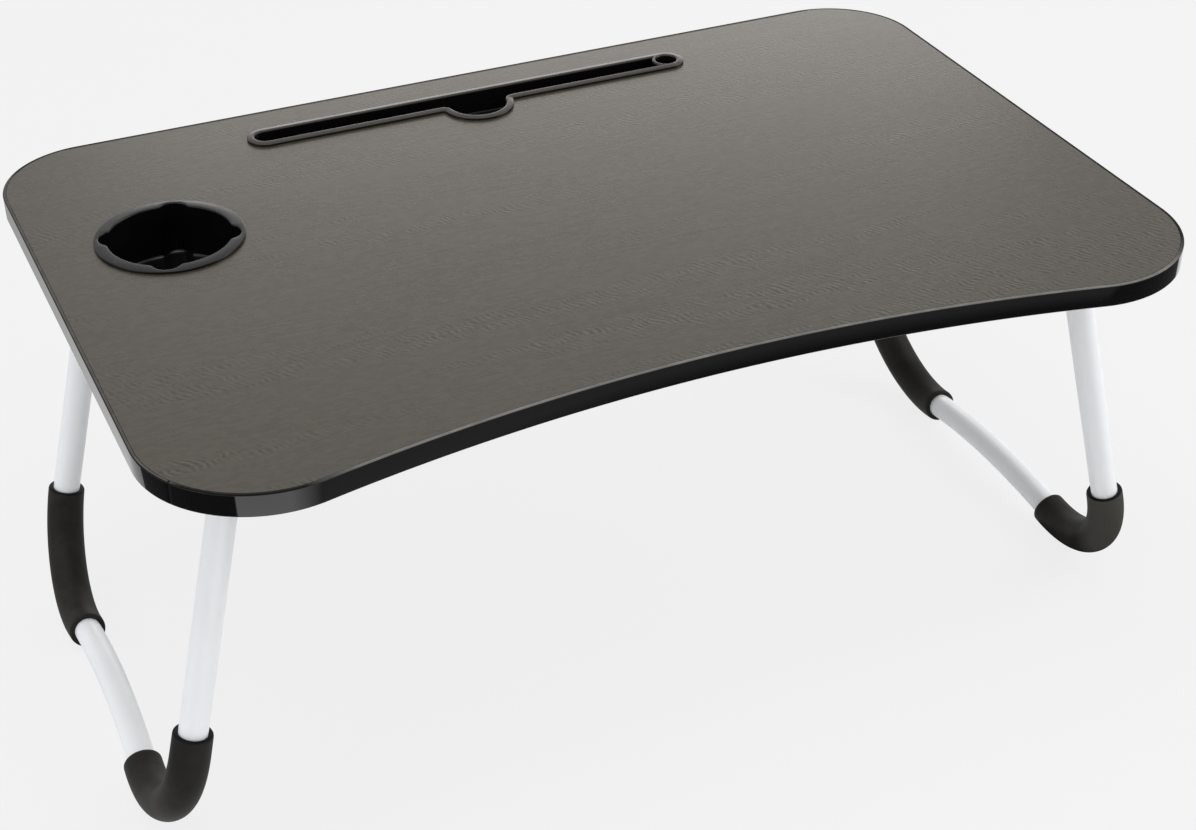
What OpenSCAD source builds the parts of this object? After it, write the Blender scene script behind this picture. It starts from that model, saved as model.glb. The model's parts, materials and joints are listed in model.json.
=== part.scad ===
/* [Table top] */
// Length of the top, end to end
top_length = 600; // [580:5:680]
// Depth of the top, front to back at its ends
top_depth = 405; // [390:5:440]
// Height of the upper surface above the floor with the legs open
table_height = 270; // [230:1:275]
// Thickness of the fibreboard core
core_t = 12.2; // [11.5:0.1:18]
// Thickness of the laminate on the upper face
laminate_t = 0.4; // [0.3:0.1:1]
// Thickness of the foil on the underside
foil_t = 0.4; // [0.2:0.1:1]
// Radius of the two back corners
back_corner_r = 55; // [40:1:70]
// Radius of the two front corners
front_corner_r = 65; // [50:1:75]
// How far the front edge curves in at its middle
front_curve = 27; // [12:1:40]

/* [Edge band] */
// Thickness of the plastic band
band_t = 2; // [1.5:0.1:3]
// Radius of the band's outer edges
band_round = 1.2; // [0.6:0.1:1.4]
// Gap where the two ends of the band meet
band_seam = 0.3; // [0.2:0.1:1]
// Where the seam lies on the front left corner, in degrees past the left end
band_seam_at = 32; // [10:1:80]
// Room for glue between the band and the core
glue_gap = 0.1; // [0.05:0.05:0.3]

/* [Cup holder] */
// Distance of the cup holder's centre from the left end
cup_from_left = 75.5; // [65:0.5:110]
// Distance of the cup holder's centre from the back edge
cup_from_back = 137.5; // [125:0.5:170]
// Turn of the cup holder about its own axis, in degrees
cup_turn = -18; // [-44:1:44]
// Inner diameter of the cup
cup_d = 70; // [60:1:74]
// Depth of the cup below the upper surface
cup_depth = 30; // [20:1:45]
// Thickness of the cup's wall
cup_wall = 1.2; // [1:0.1:2]
// Thickness of the cup's floor
cup_floor = 1.5; // [1:0.1:3]
// Radius of each grip channel
channel_r = 8.5; // [6:0.5:10]
// How far each channel reaches out past the cup's wall
channel_reach = 4.6; // [3:0.1:5.5]
// Width of the flange that covers the edge of the hole, past the hole
cup_lap = 1.5; // [1:0.1:6]
// Height of the flange above the upper surface
cup_flange_h = 1.8; // [1.2:0.1:3]
// Slope of the flange's outer edge, measured inwards
cup_bevel = 1.2; // [0.5:0.1:1.3]
// Chamfer between the cup's wall and floor
cup_cove = 2; // [0.5:0.1:3]

/* [Tablet tray] */
// Distance of the tray's centre line from the back edge
tray_from_back = 38.5; // [34:0.5:44]
// Distance of the tray's middle from the table's middle, negative to the left
tray_shift = -4; // [-20:1:20]
// Overall length of the tray's rim
tray_length = 291; // [240:1:330]
// Width of the slot that holds the tablet's edge
slot_w = 13.8; // [10:0.1:16]
// Width of the rim round the slot
rim_w = 4.6; // [4:0.1:6]
// Height of the rim above the upper surface
rim_h = 2; // [1.4:0.1:3]
// Slope of the rim's outer edge, measured inwards
rim_bevel = 1.2; // [0.5:0.1:1.8]
// Thickness of the tray's walls
tray_wall = 1.4; // [1:0.1:2]
// Thickness of the tray's floor
tray_floor = 1.5; // [1:0.1:2]
// How far the tray reaches below the underside
tray_drop = 2; // [1.6:0.1:2.6]
// Radius of the finger notch
notch_r = 18; // [14:0.5:22]
// Distance of the notch's centre in front of the slot's centre line
notch_forward = 9.5; // [6:0.5:11]
// Diameter of the pen hole
pen_d = 13.5; // [10:0.1:13.8]
// Thickness of the wall between the slot and the pen hole
pen_wall = 2; // [1.5:0.1:3]
// Room between an insert and the edge of its hole
insert_gap = 0.2; // [0.1:0.05:0.4]

/* [Leg frames] */
// Outer diameter of the leg tube
tube_d = 16; // [14:0.5:18]
// Wall of the leg tube
tube_wall = 1.2; // [0.8:0.1:1.5]
// Distance of the pivots from the ends of the top
hinge_inset = 50; // [45:0.5:60]
// Distance of the front pivots from the front edge, at the ends of the top
front_pivot_in = 74.5; // [66:0.5:82]
// Distance of the back pivots from the back edge
back_pivot_in = 60.5; // [54:0.5:68]
// Outward lean of each upright within its frame, in degrees
upright_lean = 2.2; // [0:0.1:3]
// Outward splay of the open frame, in degrees from upright
splay = 13; // [6:0.5:15]
// Radius of the lower bends, on the tube's centre line
bend_r = 60; // [45:1:70]
// How far the bottom bar arches up at its middle
bar_arch = 8; // [4:0.5:12]
// Length of tube above the pivot
tube_over = 7; // [6.5:0.1:7.5]

/* [Sleeves] */
// Outer diameter of the rubber sleeves
sleeve_d = 22.5; // [20:0.5:25]
// Room between the sleeve and the tube
sleeve_gap = 0.15; // [0.1:0.05:0.3]
// How far the left front sleeve runs up its upright past the bend
left_front_sleeve_up = 14; // [2:0.5:20]
// How far the left back sleeve runs up past the bend, negative where it stops on the bend
left_back_sleeve_up = -5; // [-12:0.5:20]
// How far the right front sleeve runs up its upright past the bend
right_front_sleeve_up = 4; // [2:0.5:20]
// How far the right back sleeve runs up its upright past the bend
right_back_sleeve_up = 4; // [2:0.5:20]
// How far the left front sleeve runs along the bar past the bend
left_front_sleeve_along = 2; // [1.5:0.5:20]
// How far the left back sleeve runs along the bar past the bend
left_back_sleeve_along = 8; // [1.5:0.5:20]
// How far the right front sleeve runs along the bar past the bend
right_front_sleeve_along = 2; // [1.5:0.5:20]
// How far the right back sleeve runs along the bar past the bend
right_back_sleeve_along = 3.5; // [1.5:0.5:20]
// Chamfer at the ends of a sleeve
sleeve_chamfer = 0.8; // [0.4:0.1:1.5]

/* [Hinges] */
// Distance of the pivots below the underside
pivot_drop = 15; // [14.5:0.5:20]
// Thickness of the bracket's sheet
sheet_t = 2; // [1.5:0.1:2.4]
// Length of the bracket's plate, along the table
plate_l = 48; // [44:1:52]
// Width of the bracket's plate, across the table
plate_w = 44; // [42:1:50]
// Corner radius of the plate
plate_r = 6; // [3:0.5:9]
// Clear width between the ears
ear_room = 18.4; // [18.2:0.1:20]
// Radius of the ears round the pivot
ear_r = 10; // [8:0.5:11]
// Length of an ear at the plate
ear_base = 30; // [26:1:34]
// Reach of the open stop, measured down the leg from the pivot
stop_reach = 21; // [18:0.5:26]
// Running gap between the leg and its stop
stop_gap = 0.3; // [0.2:0.05:0.5]
// Diameter of the rivet's shank
rivet_d = 6; // [5:0.1:7]
// Radial room between the rivet and what turns on it
rivet_gap = 0.08; // [0.04:0.01:0.1]
// Radial room between the rivet and the ears
rivet_fit = 0.05; // [0.02:0.01:0.1]
// Diameter of the rivet's domed head
rivet_head_d = 11; // [9:0.5:13]
// Height of the rivet's domed head
rivet_head_h = 2.4; // [1.5:0.1:3.5]
// Diameter of the rivet's rolled tail
rivet_tail_d = 9; // [8:0.5:11]
// Height of the rivet's rolled tail
rivet_tail_h = 1.6; // [1:0.1:2.5]
// Diameter of the bracket screws
screw_d = 3.5; // [3:0.1:4]
// Length of the screws under their heads
screw_l = 11; // [9:0.5:11.5]
// Diameter of the screw heads
screw_head_d = 7; // [6:0.1:7.2]
// Height of the screw heads
screw_head_h = 2.2; // [1.5:0.1:2.6]
// Distance of a screw from the plate's end
screw_inset_l = 7; // [5.5:0.5:9]
// Distance of a screw from the plate's side
screw_inset_w = 6; // [5:0.5:6.5]
// Thickness of the tube plug's cap
plug_cap = 1.5; // [1:0.1:2]
// Length of the plug inside the tube
plug_l = 16; // [12:0.5:24]
// Room between the plug and the tube
plug_gap = 0.1; // [0.05:0.05:0.2]

/* [Hidden] */
$fn = 96;

black = [0.05, 0.05, 0.055];
charcoal = [0.16, 0.16, 0.165];
white = [0.93, 0.93, 0.94];
zinc = [0.72, 0.73, 0.75];
laminate_brown = [0.30, 0.28, 0.26];
fibre_brown = [0.62, 0.50, 0.36];

// Where a run of the band meets a bend it is a hair thinner and sinks a short way into it
hair = 0.01;
lap = 0.4;

// Where a bend of tube or sleeve meets a run, a short collar inside the wall joins the two
collar_half = 0.5;
collar_flat = 0.2;
collar_bite = 0.25;
collar_proud = 0.03;
collar_gap = 0.1;

// Sides of a part and ends of a frame
LEFT = -1;
RIGHT = 1;
FRONT = -1;
BACK = 1;

// The top: levels and the middle of its two inserts
board_t = foil_t + core_t + laminate_t;
under_z = table_height - board_t;
core_z = under_z + foil_t;
laminate_z = core_z + core_t;
cup_x = cup_from_left - top_length / 2;
cup_y = top_depth / 2 - cup_from_back;
tray_y = top_depth / 2 - tray_from_back;
core_inset = band_t + glue_gap;

// The front edge is one hollow arc that runs into both front corners without a kink
corner_front_x = top_length / 2 - front_corner_r;
corner_front_y = front_corner_r - top_depth / 2;
corner_back_x = top_length / 2 - back_corner_r;
corner_back_y = top_depth / 2 - back_corner_r;
hollow_r = (pow(corner_front_x, 2) + pow(front_curve, 2)) / (2 * front_curve) - front_corner_r;
hollow_y = front_curve - top_depth / 2 - hollow_r;
hollow_half = asin(corner_front_x / (hollow_r + front_corner_r));

// The cup: reach of its channels, its hole and its flange
channel_tip = cup_d / 2 + channel_reach;
channel_at = channel_tip - channel_r;
cup_hole_r = channel_tip + cup_wall + insert_gap;
cup_flange_r = cup_hole_r + cup_lap;
cup_floor_z = table_height - cup_depth;

// The tray: ends of the slot and place of the pen hole
slot_r = slot_w / 2;
rim_r = slot_r + rim_w;
rim_half = tray_length / 2 - rim_r;
pen_x = tray_length / 2 - rim_w - pen_d / 2;
slot_left = -rim_half;
slot_right = pen_x - pen_d / 2 - pen_wall - slot_r;
tray_low_z = under_z - tray_drop;

// The leg frame, drawn in its own plane with the pivot line at height 0
tube_r = tube_d / 2;
bore_r = tube_r - tube_wall;
sleeve_r = sleeve_d / 2;
pivot_z = under_z - pivot_drop;
hinge_x = top_length / 2 - hinge_inset;
frame_width = top_depth - front_pivot_in - back_pivot_in;
frame_back = (front_pivot_in - back_pivot_in) / 2;
leg_l = (pivot_z - sleeve_r) / cos(splay);
bend_z = bend_r - leg_l;
upright_l = -(bend_z + bend_r * sin(upright_lean)) / cos(upright_lean);
bend_y = frame_width / 2 + upright_l * sin(upright_lean) - bend_r * cos(upright_lean);
arch_r = (pow(bend_y, 2) + pow(bar_arch, 2)) / (2 * bar_arch) - bend_r;
arch_z = bar_arch - leg_l - arch_r;
arch_half = asin(bend_y / (bend_r + arch_r));
bend_turn = 90 + arch_half + upright_lean;
sleeve_r_in = tube_r + sleeve_gap;
collar_gap_angle = asin(collar_gap / arch_r);

// The hinge, drawn round its pivot
plate_z = pivot_drop - sheet_t;
ear_y = ear_room / 2;
ear_out = ear_y + sheet_t;
turn_r = rivet_d / 2 + rivet_gap;
end_sweep = norm([tube_over + plug_cap, tube_r]);
stop_top = end_sweep + 0.5;
stop_in = tube_r + stop_gap;
stop_out = stop_in + sheet_t;
screw_x = plate_l / 2 - screw_inset_l;
screw_y = plate_w / 2 - screw_inset_w;
pilot_r = screw_d / 2 + 0.05;
pilot_l = screw_l + 0.5;
screw_tip = screw_d;

// Outline of the top, drawn in by the given amount all round
module top_outline(inset) {
    back_r = back_corner_r - inset;
    front_r = front_corner_r - inset;
    tip = [sin(hollow_half), -cos(hollow_half)] * front_r;
    difference() {
        union() {
            polygon([
                [-top_length / 2 + inset, corner_front_y],
                [-corner_front_x, corner_front_y],
                [-corner_front_x + tip.x, corner_front_y + tip.y],
                [corner_front_x - tip.x, corner_front_y + tip.y],
                [corner_front_x, corner_front_y],
                [top_length / 2 - inset, corner_front_y],
                [top_length / 2 - inset, corner_back_y],
                [corner_back_x, top_depth / 2 - inset],
                [-corner_back_x, top_depth / 2 - inset],
                [-top_length / 2 + inset, corner_back_y]
            ]);
            for (side = [LEFT, RIGHT]) {
                translate([side * corner_front_x, corner_front_y]) circle(front_r);
                translate([side * corner_back_x, corner_back_y]) circle(back_r);
            }
        }
        translate([0, hollow_y]) circle(hollow_r + inset, $fn = 1440);
    }
}

// Plan of the cup with its four channels, grown by a wall
module cup_plan(grow) {
    circle(cup_d / 2 + grow);
    for (turn = [0 : 90 : 270]) rotate(turn) translate([channel_at, 0]) circle(channel_r + grow);
}

// Plan of the tray's slot with its finger notch, grown by a wall
module slot_plan(grow, right_end) {
    reach = notch_r + grow;
    for (x = [slot_left, right_end]) translate([x, 0]) circle(slot_r + grow);
    translate([slot_left, -slot_r - grow]) square([right_end - slot_left, slot_w + 2 * grow]);
    intersection() {
        translate([0, -notch_forward]) circle(reach);
        translate([-reach, -reach - notch_forward]) square([2 * reach, reach + notch_forward]);
    }
}

module at_cup() translate([cup_x, cup_y, 0]) children();

module at_tray() translate([tray_shift, tray_y, 0]) children();

// The two holes that the inserts drop into, as one tool
module insert_holes(z, h) {
    translate([0, 0, z]) linear_extrude(h) {
        at_cup() circle(cup_hole_r);
        at_tray() slot_plan(tray_wall + insert_gap, rim_half);
    }
}

// Everything of one hinge is placed from here: outboard is +X, the end's outside is +Y
module at_hinge(side, end) {
    translate([side * hinge_x, frame_back + end * frame_width / 2, pivot_z])
        mirror([side == LEFT ? 1 : 0, 0, 0]) mirror([0, end == FRONT ? 1 : 0, 0]) children();
}

// Everything of one leg frame is placed from here: the frame hangs from the pivot line
module at_leg(side) {
    translate([side * hinge_x, frame_back, pivot_z])
        mirror([side == LEFT ? 1 : 0, 0, 0]) rotate([0, -splay, 0]) children();
}

module for_hinges() for (side = [LEFT, RIGHT], end = [FRONT, BACK]) at_hinge(side, end) children();

module for_screws() for (x = [-screw_x, screw_x], y = [-screw_y, screw_y]) translate([x, y, 0]) children();

module board_core() {
    color(fibre_brown) difference() {
        translate([0, 0, core_z]) linear_extrude(core_t) top_outline(core_inset);
        insert_holes(core_z - 1, core_t + 2);
        for_hinges() for_screws() translate([0, 0, plate_z]) cylinder(h = pilot_l, r = pilot_r);
    }
}

module top_laminate() {
    color(laminate_brown) difference() {
        translate([0, 0, laminate_z]) linear_extrude(laminate_t) top_outline(core_inset);
        insert_holes(laminate_z - 1, laminate_t + 2);
    }
}

module underside_foil() {
    color(black) difference() {
        translate([0, 0, under_z]) linear_extrude(foil_t) top_outline(core_inset);
        insert_holes(under_z - 1, foil_t + 2);
        for_hinges() for_screws() translate([0, 0, plate_z]) cylinder(h = pilot_l, r = pilot_r);
    }
}

// Section of the band: its outer face is at 0 and both outer edges are rounded
module band_section(thinner) {
    edge_zs = [band_round, board_t - band_round];
    translate([thinner - band_t, thinner]) square([band_t - band_round - thinner, board_t - 2 * thinner]);
    translate([-band_round, band_round]) square([band_round - thinner, board_t - 2 * band_round]);
    intersection() {
        for (z = edge_zs) translate([-band_round, z]) circle(band_round - thinner);
        translate([-band_round, 0]) square([band_round, board_t]);
    }
}

// One bend of the band about a corner's centre, from one angle to another
module band_bend(x, y, r, from, to) {
    translate([x, y, under_z]) rotate(from)
        rotate_extrude(angle = to - from) translate([r, 0]) band_section(0);
}

// One straight run of the band, with the outside of the top on its right
module band_run(x, y, direction, l) {
    translate([x, y, under_z]) rotate(direction - 90) translate([0, -lap, 0])
        rotate([90, 0, 0]) mirror([0, 0, 1]) linear_extrude(l + 2 * lap) band_section(hair);
}

// The hollow run of the band along the front edge
module band_hollow() {
    half = hollow_half + asin(lap / hollow_r);
    translate([0, hollow_y, under_z]) rotate(90 - half)
        rotate_extrude(angle = 2 * half, $fn = 1440)
            translate([hollow_r, 0]) mirror([1, 0]) band_section(hair);
}

module edge_band() {
    seam = 180 + band_seam_at;
    seam_half = asin(band_seam / 2 / front_corner_r);
    side_l = corner_back_y - corner_front_y;
    color(black) {
        band_bend(-corner_front_x, corner_front_y, front_corner_r, seam + seam_half, 270 + hollow_half);
        band_hollow();
        band_bend(corner_front_x, corner_front_y, front_corner_r, 270 - hollow_half, 360);
        band_run(top_length / 2, corner_front_y, 90, side_l);
        band_bend(corner_back_x, corner_back_y, back_corner_r, 0, 90);
        band_run(corner_back_x, top_depth / 2, 180, 2 * corner_back_x);
        band_bend(-corner_back_x, corner_back_y, back_corner_r, 90, 180);
        band_run(-top_length / 2, corner_back_y, 270, side_l);
        band_bend(-corner_front_x, corner_front_y, front_corner_r, 180, seam - seam_half);
    }
}

module cup_holder() {
    flange_z = table_height;
    body_h = flange_z + cup_flange_h - cup_floor_z;
    color(black) at_cup() rotate(cup_turn) difference() {
        union() {
            translate([0, 0, flange_z]) rotate_extrude() polygon([
                [0, 0], [cup_flange_r, 0], [cup_flange_r, cup_flange_h - cup_bevel],
                [cup_flange_r - cup_bevel, cup_flange_h], [0, cup_flange_h]
            ]);
            translate([0, 0, cup_floor_z - cup_floor])
                linear_extrude(flange_z - cup_floor_z + cup_floor + lap) cup_plan(cup_wall);
        }
        translate([0, 0, cup_floor_z + cup_cove]) linear_extrude(body_h) cup_plan(0);
        translate([0, 0, cup_floor_z]) {
            cylinder(h = cup_cove + hair, r1 = cup_d / 2 - cup_cove, r2 = cup_d / 2 + hair);
            for (turn = [0 : 90 : 270]) rotate(turn) translate([channel_at, 0, 0])
                cylinder(h = cup_cove + hair, r1 = channel_r - cup_cove, r2 = channel_r + hair);
        }
    }
}

module tablet_tray() {
    rim_z = table_height;
    deep_z = tray_low_z + tray_floor;
    color(black) at_tray() difference() {
        union() {
            translate([0, 0, rim_z]) linear_extrude(rim_h - rim_bevel) slot_plan(rim_w, rim_half);
            translate([0, 0, rim_z]) linear_extrude(rim_h) slot_plan(rim_w - rim_bevel, rim_half);
            translate([0, 0, tray_low_z]) linear_extrude(rim_z - tray_low_z + lap)
                slot_plan(tray_wall, rim_half);
        }
        translate([0, 0, deep_z]) linear_extrude(rim_z + rim_h) {
            slot_plan(0, slot_right);
            translate([pen_x, 0]) circle(pen_d / 2);
        }
    }
}

// Section of a tube wall
module ring(r, r_in) {
    difference() {
        circle(r);
        circle(r_in);
    }
}

// The collar at one end of a bend, tapered inside the wall both ways
module collar(r, r_in) {
    rotate_extrude() polygon([
        [r_in + collar_bite, -collar_half], [r - collar_bite, -collar_half],
        [r + collar_proud, -collar_flat], [r + collar_proud, collar_flat],
        [r - collar_bite, collar_half], [r_in + collar_bite, collar_half],
        [r_in - collar_proud, collar_flat], [r_in - collar_proud, -collar_flat]
    ]);
}

// The lower bend of the back upright, with a collar at both its ends
module bend(r, r_in) {
    translate([0, bend_y, bend_z]) rotate([90, 0, 90]) rotate(-90 - arch_half) {
        rotate_extrude(angle = bend_turn) translate([bend_r, 0]) ring(r, r_in);
        for (turn = [0, bend_turn]) rotate(turn) translate([bend_r, 0, 0]) rotate([90, 0, 0])
            collar(r, r_in);
    }
}

// A stretch of the arched bar, between two angles from the upright through its middle
module bar(r, r_in, from, to) {
    translate([0, 0, arch_z]) rotate([90, 0, 90]) rotate(90 - to)
        rotate_extrude(angle = to - from, $fn = 720) translate([arch_r, 0]) ring(r, r_in);
}

// Places what is drawn round the Z axis on the back upright, with the bend's start at height 0
module on_upright() {
    translate([0, frame_width / 2, 0]) rotate([upright_lean, 0, 0])
        translate([0, 0, -upright_l]) children();
}

module leg_tube(side) {
    bar_end = arch_half - collar_gap_angle;
    color(white) at_leg(side) difference() {
        union() {
            bar(tube_r, bore_r, -bar_end, bar_end);
            for (end = [FRONT, BACK]) mirror([0, end == FRONT ? 1 : 0, 0]) {
                bend(tube_r, bore_r);
                on_upright() translate([0, 0, collar_gap])
                    linear_extrude(upright_l + tube_over - collar_gap) ring(tube_r, bore_r);
            }
        }
        rotate([90, 0, 0]) translate([0, 0, -frame_width]) cylinder(h = 2 * frame_width, r = turn_r);
    }
}

// The end of a sleeve on the arched bar, with its outer edge chamfered
module sleeve_bar_end(along) {
    past = arch_half - asin(along / arch_r);
    difference() {
        bar(sleeve_r, sleeve_r_in, past, arch_half - collar_gap_angle);
        translate([0, 0, arch_z]) rotate([90, 0, 90]) rotate(90 - past) translate([arch_r, 0, 0])
            rotate([90, 0, 0]) rotate_extrude() polygon([
                [sleeve_r - sleeve_chamfer - 1, -1],
                [sleeve_r + 1, -1],
                [sleeve_r + 1, sleeve_chamfer + 1]
            ]);
    }
}

// The upper end of a sleeve that runs on up the straight upright
module sleeve_upper_end(up) {
    on_upright() rotate_extrude() polygon([
        [sleeve_r_in, collar_gap], [sleeve_r, collar_gap],
        [sleeve_r, up - sleeve_chamfer], [sleeve_r - sleeve_chamfer, up],
        [sleeve_r_in, up]
    ]);
}

// What a sleeve that stops short leaves bare at the top of its bend, with the chamfer of its end
module sleeve_short_cut(short) {
    turn = bend_turn - 2 * asin(short / 2 / bend_r);
    translate([0, bend_y, bend_z]) rotate([90, 0, 90]) rotate(turn - 90 - arch_half)
        translate([bend_r, 0, 0]) rotate([-90, 0, 0]) rotate_extrude() polygon([
            [0, 0], [sleeve_r - sleeve_chamfer, 0], [sleeve_r + 1, -sleeve_chamfer - 1],
            [sleeve_r + 1, short + sleeve_r], [0, short + sleeve_r]
        ]);
}

// A sleeve covers the bend and ends a short way past it, or on it where up is negative
module sleeve(side, end, up, along) {
    color(charcoal) at_leg(side) mirror([0, end == FRONT ? 1 : 0, 0]) {
        difference() {
            bend(sleeve_r, sleeve_r_in);
            if (up < 0) sleeve_short_cut(-up);
        }
        sleeve_bar_end(along);
        if (up > 0) sleeve_upper_end(up);
    }
}

module plug(side, end) {
    color(black) at_leg(side) mirror([0, end == FRONT ? 1 : 0, 0]) difference() {
        on_upright() translate([0, 0, upright_l + tube_over]) {
            cylinder(h = plug_cap, r = tube_r);
            translate([0, 0, -plug_l]) cylinder(h = plug_l + lap, r = bore_r - plug_gap);
        }
        rotate([90, 0, 0]) translate([0, 0, -frame_width]) cylinder(h = 2 * frame_width, r = turn_r);
    }
}

// Point on a circle round the pivot where a line from a point outside touches it
function touch(p, r) =
    let (a = atan2(p.y, p.x) + acos(r / norm(p)))
    [r * cos(a), r * sin(a)];

// A point given down the open leg and out from its centre line
function on_leg(out, down) = [
    out * cos(splay) + down * sin(splay),
    out * sin(splay) - down * cos(splay)
];

module ear_outline() {
    circle(ear_r);
    polygon([
        [-ear_base / 2, plate_z + hair],
        touch([-ear_base / 2, plate_z], ear_r),
        [0, 0],
        on_leg(ear_r / 2, ear_r / 2),
        on_leg(ear_r / 2, stop_reach),
        on_leg(stop_out, stop_reach),
        on_leg(stop_out, 0),
        [ear_base / 2, plate_z + hair]
    ]);
}

module bracket(side, end) {
    color(zinc) at_hinge(side, end) difference() {
        union() {
            translate([0, 0, plate_z]) linear_extrude(sheet_t) plate_outline();
            for (y = [-ear_out, ear_y]) translate([0, y, 0]) rotate([90, 0, 0])
                mirror([0, 0, 1]) linear_extrude(sheet_t) ear_outline();
            rotate([0, -splay, 0]) translate([stop_in, -ear_y - hair, -stop_reach])
                cube([sheet_t, ear_room + 2 * hair, stop_reach - stop_top]);
        }
        rotate([90, 0, 0]) translate([0, 0, -ear_out - 1])
            cylinder(h = 2 * ear_out + 2, r = rivet_d / 2 + rivet_fit);
        for_screws() translate([0, 0, plate_z - 1]) cylinder(h = sheet_t + 2, r = screw_d / 2 + 0.3);
    }
}

module plate_outline() {
    x = plate_l / 2;
    y = plate_w / 2;
    square([plate_l - 2 * plate_r, plate_w], center = true);
    square([plate_l, plate_w - 2 * plate_r], center = true);
    for (i = [-1, 1], j = [-1, 1]) translate([i * (x - plate_r), j * (y - plate_r)]) circle(plate_r);
}

// The head is outside the frame and the rolled tail is inside it
module rivet(side, end) {
    head_r = rivet_head_d / 2;
    dome_r = (pow(head_r, 2) + pow(rivet_head_h, 2)) / (2 * rivet_head_h);
    color(zinc) at_hinge(side, end) rotate([-90, 0, 0]) {
        translate([0, 0, -ear_out]) cylinder(h = 2 * ear_out, r = rivet_d / 2);
        translate([0, 0, ear_out]) intersection() {
            translate([0, 0, rivet_head_h - dome_r]) sphere(dome_r);
            cylinder(h = rivet_head_h + 1, r = head_r + 1);
        }
        translate([0, 0, -ear_out - rivet_tail_h]) difference() {
            cylinder(h = rivet_tail_h, r1 = rivet_tail_d / 2 - 0.8, r2 = rivet_tail_d / 2);
            translate([0, 0, -1]) cylinder(h = rivet_tail_h, r = rivet_d / 2 - 1.2);
        }
    }
}

// Pan head screws: the recess in the head is a plain cross
module screws(side, end) {
    color(zinc) at_hinge(side, end) for_screws() {
        translate([0, 0, plate_z]) {
            cylinder(h = screw_l - screw_tip, r = screw_d / 2);
            translate([0, 0, screw_l - screw_tip]) cylinder(h = screw_tip, r1 = screw_d / 2, r2 = 0.3);
        }
        translate([0, 0, plate_z - screw_head_h]) difference() {
            cylinder(h = screw_head_h, r1 = screw_head_d / 2 - 0.9, r2 = screw_head_d / 2);
            for (turn = [0, 90]) rotate(turn) translate([-1.8, -0.4, -1]) cube([3.6, 0.8, 2.1]);
        }
    }
}

board_core();
top_laminate();
underside_foil();
edge_band();
cup_holder();
tablet_tray();
leg_tube(LEFT);  // left_leg_tube
leg_tube(RIGHT);  // right_leg_tube
sleeve(LEFT, FRONT, left_front_sleeve_up, left_front_sleeve_along);  // left_front_sleeve
sleeve(LEFT, BACK, left_back_sleeve_up, left_back_sleeve_along);  // left_back_sleeve
sleeve(RIGHT, FRONT, right_front_sleeve_up, right_front_sleeve_along);  // right_front_sleeve
sleeve(RIGHT, BACK, right_back_sleeve_up, right_back_sleeve_along);  // right_back_sleeve
bracket(LEFT, FRONT);  // left_front_bracket
bracket(LEFT, BACK);  // left_back_bracket
bracket(RIGHT, FRONT);  // right_front_bracket
bracket(RIGHT, BACK);  // right_back_bracket
rivet(LEFT, FRONT);  // left_front_rivet
rivet(LEFT, BACK);  // left_back_rivet
rivet(RIGHT, FRONT);  // right_front_rivet
rivet(RIGHT, BACK);  // right_back_rivet
plug(LEFT, FRONT);  // left_front_plug
plug(LEFT, BACK);  // left_back_plug
plug(RIGHT, FRONT);  // right_front_plug
plug(RIGHT, BACK);  // right_back_plug
screws(LEFT, FRONT);  // left_front_screws
screws(LEFT, BACK);  // left_back_screws
screws(RIGHT, FRONT);  // right_front_screws
screws(RIGHT, BACK);  // right_back_screws
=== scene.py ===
"""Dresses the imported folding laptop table: its mesh pieces, finishes, studio light and camera."""

import json
import math
from collections import namedtuple

import bpy
from mathutils import Matrix, Vector
from mathutils.geometry import tessellate_polygon


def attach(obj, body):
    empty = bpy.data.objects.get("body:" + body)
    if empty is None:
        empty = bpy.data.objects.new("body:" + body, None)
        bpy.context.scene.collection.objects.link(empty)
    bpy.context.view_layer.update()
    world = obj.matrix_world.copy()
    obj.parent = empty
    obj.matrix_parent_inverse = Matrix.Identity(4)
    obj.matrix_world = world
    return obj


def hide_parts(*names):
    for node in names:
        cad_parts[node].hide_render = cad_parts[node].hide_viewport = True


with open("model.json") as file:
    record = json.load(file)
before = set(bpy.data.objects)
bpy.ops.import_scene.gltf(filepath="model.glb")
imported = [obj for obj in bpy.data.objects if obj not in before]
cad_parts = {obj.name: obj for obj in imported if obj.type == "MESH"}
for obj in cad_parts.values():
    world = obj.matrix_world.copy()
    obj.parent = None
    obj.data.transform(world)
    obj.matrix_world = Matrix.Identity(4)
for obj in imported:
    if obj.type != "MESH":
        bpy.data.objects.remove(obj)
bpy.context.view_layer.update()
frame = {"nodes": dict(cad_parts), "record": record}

MM = 0.001

# ---- Sizes in millimetres: those of the CAD model, and finer ones for the pieces made here ----

# The top: its outline, corner radii and the depth of the hollow in its front
TOP_LENGTH, TOP_DEPTH, TOP_Z, BOARD_T = 600, 405, 270, 13
UNDER_Z = TOP_Z - BOARD_T
BACK_R, FRONT_R, FRONT_CURVE = 55, 65, 27

# The edge band, and its butt seam on the front left corner, in degrees round that corner
BAND_T, BAND_ROUND, SEAM_GAP, SEAM_AT = 2, 1.2, 0.3, 212
# How much the strip's cut ends are eased, and how far from the seam the easing starts, in degrees
SEAM_EASE, SEAM_EASE_TURN = 0.25, 0.45

# The cup holder, its four grip channels and its flange, which falls outwards by some degrees
CUP_X, CUP_Y, CUP_TURN = -224.5, 65, -18
CUP_R, CUP_DEPTH, CUP_WALL, CUP_FLOOR = 35, 30, 1.2, 1.5
CHANNEL_R, CHANNEL_REACH, CHANNEL_BLEND = 8.5, 4.6, 1.1
CUP_FLANGE_R, CUP_FLANGE_H, CUP_FLANGE_FALL = 42.3, 1.8, 2
CUP_LIP, CUP_COVE, CUP_DRAFT, CUP_OUTER_ROUND, CUP_FOOT_ROUND = 0.8, 2.2, 0.4, 0.55, 1.5

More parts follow.
